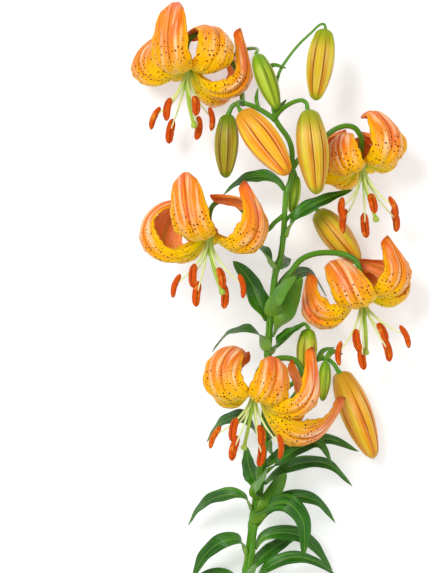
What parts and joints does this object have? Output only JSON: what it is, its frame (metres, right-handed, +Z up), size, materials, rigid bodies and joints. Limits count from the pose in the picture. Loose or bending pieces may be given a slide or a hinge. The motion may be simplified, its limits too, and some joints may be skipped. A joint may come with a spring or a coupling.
{
  "type": "cut lily flower stem",
  "caption": "Cut flowering stem of a Turk's-cap martagon lily, lying on its back, with nodding recurved spotted orange-yellow blooms, closed buds and arching lance-shaped leaves.",
  "frame": {"origin": "middle of the bounding box in plan, on the surface that the stem lies on", "axes": "+Y from the cut end of the stem towards its flowering top, +Z up from the surface, +X to the right seen from above with the top away from the viewer"},
  "size_m": [0.1974, 0.4912, 0.1295],
  "materials": {
    "stem": "smooth green plant stem",
    "leaf": "glossy leaf with parallel veins",
    "green_bud": "satin bud",
    "orange_bud": "satin bud",
    "tepal": "satin petal, yellow to orange with dark red spots",
    "stamen": "powdery anthers on pale green filaments"
  },
  "bodies": {
    "root": {"stem": "stem", "leaf_01": "leaf", "leaf_02": "leaf", "leaf_03": "leaf", "leaf_04": "leaf", "leaf_05": "leaf", "leaf_06": "leaf", "leaf_07": "leaf", "leaf_08": "leaf", "leaf_09": "leaf", "leaf_10": "leaf", "leaf_11": "leaf", "leaf_12": "leaf", "leaf_13": "leaf", "leaf_14": "leaf", "leaf_15": "leaf", "leaf_16": "leaf", "leaf_17": "leaf", "leaf_18": "leaf", "leaf_19": "leaf", "leaf_20": "leaf", "leaf_21": "leaf", "leaf_22": "leaf", "leaf_23": "leaf", "leaf_24": "leaf", "leaf_25": "leaf", "leaf_26": "leaf", "leaf_27": "leaf", "leaf_28": "leaf", "leaf_29": "leaf", "leaf_30": "leaf", "bud_1": "green_bud", "bud_2": "orange_bud", "bud_3": "orange_bud", "bud_4": "orange_bud", "bud_5": "green_bud", "bud_6": "green_bud", "bud_7": "orange_bud", "bud_8": "green_bud", "bud_9": "green_bud", "bud_10": "orange_bud", "bloom_1_tepals": "tepal", "bloom_1_stamens_and_pistil": "stamen", "bloom_2_tepals": "tepal", "bloom_2_stamens_and_pistil": "stamen", "bloom_3_tepals": "tepal", "bloom_3_stamens_and_pistil": "stamen", "bloom_4_tepals": "tepal", "bloom_4_stamens_and_pistil": "stamen", "bloom_5_tepals": "tepal", "bloom_5_stamens_and_pistil": "stamen"}
  },
  "joints": []
}
